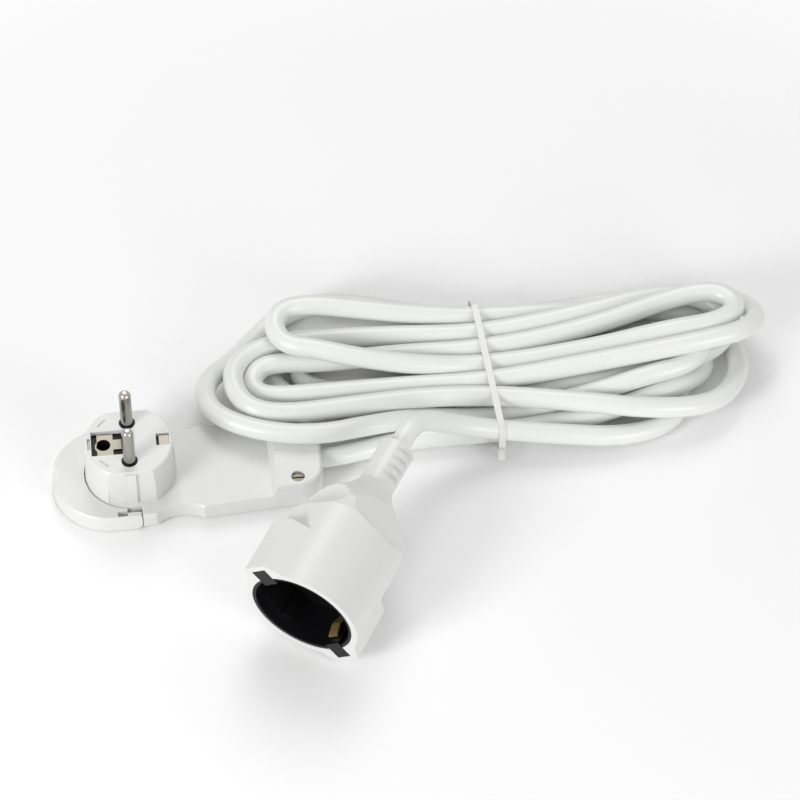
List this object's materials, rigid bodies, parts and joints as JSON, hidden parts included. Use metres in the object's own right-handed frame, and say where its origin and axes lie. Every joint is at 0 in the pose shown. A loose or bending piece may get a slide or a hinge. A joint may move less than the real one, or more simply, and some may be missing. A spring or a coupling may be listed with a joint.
{
  "type": "flat plug with cord and coupler",
  "caption": "Flat low profile power plug with round pins and a fold-out pull handle, on a looped white cord that ends in a coupler.",
  "frame": {"origin": "centre of the plug's flat back, under the middle of the two pins", "axes": "+Z along the pins, away from the flat back; +X along the plate towards the cord; +Y across the plate, through the pins"},
  "size_m": [0.2954, 0.1873, 0.0505],
  "materials": {
    "white_shell": "smooth moulded, slight gloss",
    "white_coupler": "smooth soft moulding, satin",
    "white_cord": "smooth cord sheath, satin",
    "clear_tie": "thin translucent strip",
    "black_moulding": "fine matt moulding",
    "plated_pin": "nickel plated, turned",
    "plated_strip": "nickel plated strip, rolled",
    "screw_steel": "zinc plated",
    "contact_brass": "rolled brass",
    "core_brown": "smooth insulation",
    "core_blue": "smooth insulation",
    "core_green": "smooth insulation"
  },
  "bodies": {
    "plug_and_lead": {"front_shell": "white_shell", "back_cover": "white_shell", "contact_carrier": "black_moulding", "line_pin": "plated_pin", "neutral_pin": "plated_pin", "earth_socket": "plated_strip", "earth_bracket": "plated_strip", "cover_screws": "screw_steel", "cord_clamp": "white_shell", "clamp_screws": "screw_steel", "core_crimps": "plated_strip", "core_line": "core_brown", "core_neutral": "core_blue", "core_earth": "core_green", "cord_plug_end": "white_cord", "cord_hank": "white_cord", "hank_tie": "clear_tie", "coupler_housing": "white_coupler", "coupler_insert": "black_moulding", "coupler_contact_line": "contact_brass", "coupler_contact_neutral": "contact_brass", "coupler_earth_bow": "contact_brass", "coupler_core_line": "core_brown", "coupler_core_neutral": "core_blue", "coupler_core_earth": "core_green", "cord_socket_end": "white_cord"},
    "handle": {"pull_handle": "white_shell"}
  },
  "joints": [
    {"name": "handle_fold", "type": "hinge", "parent": "plug_and_lead", "child": "handle", "pos_m": [0.0002, 0, 0.003], "axis": [0, -1, 0], "range_deg": [0, 95]}
  ]
}
